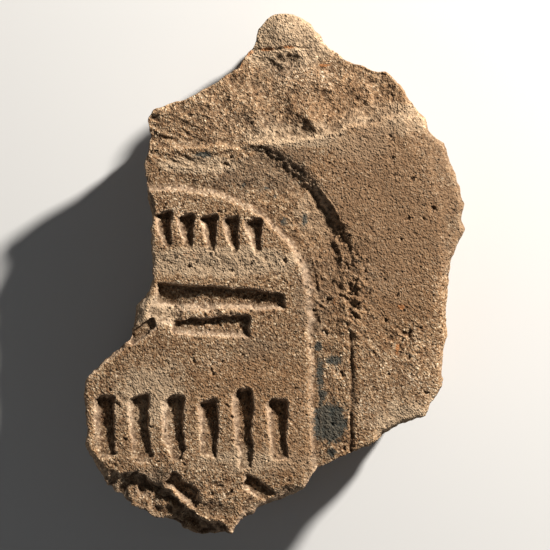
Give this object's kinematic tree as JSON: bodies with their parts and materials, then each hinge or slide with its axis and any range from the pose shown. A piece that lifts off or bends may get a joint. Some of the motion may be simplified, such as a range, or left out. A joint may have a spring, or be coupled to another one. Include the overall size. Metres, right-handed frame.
{
  "type": "stone relief panel",
  "caption": "Broken slab of brown sandstone with a flat back and a carved face: a sunk border band curves round a field of cut strokes. Decorative relief, lies on its back.",
  "frame": {"origin": "on the flat back, in the middle of the broken outline's bounding box", "axes": "+Z out of the carved face, +Y towards the carving's top, +X towards its right"},
  "size_m": [0.153, 0.21, 0.048],
  "materials": {
    "stone": "rough weathered sandstone"
  },
  "bodies": {
    "root": {"relief_fragment": "stone"}
  },
  "joints": []
}
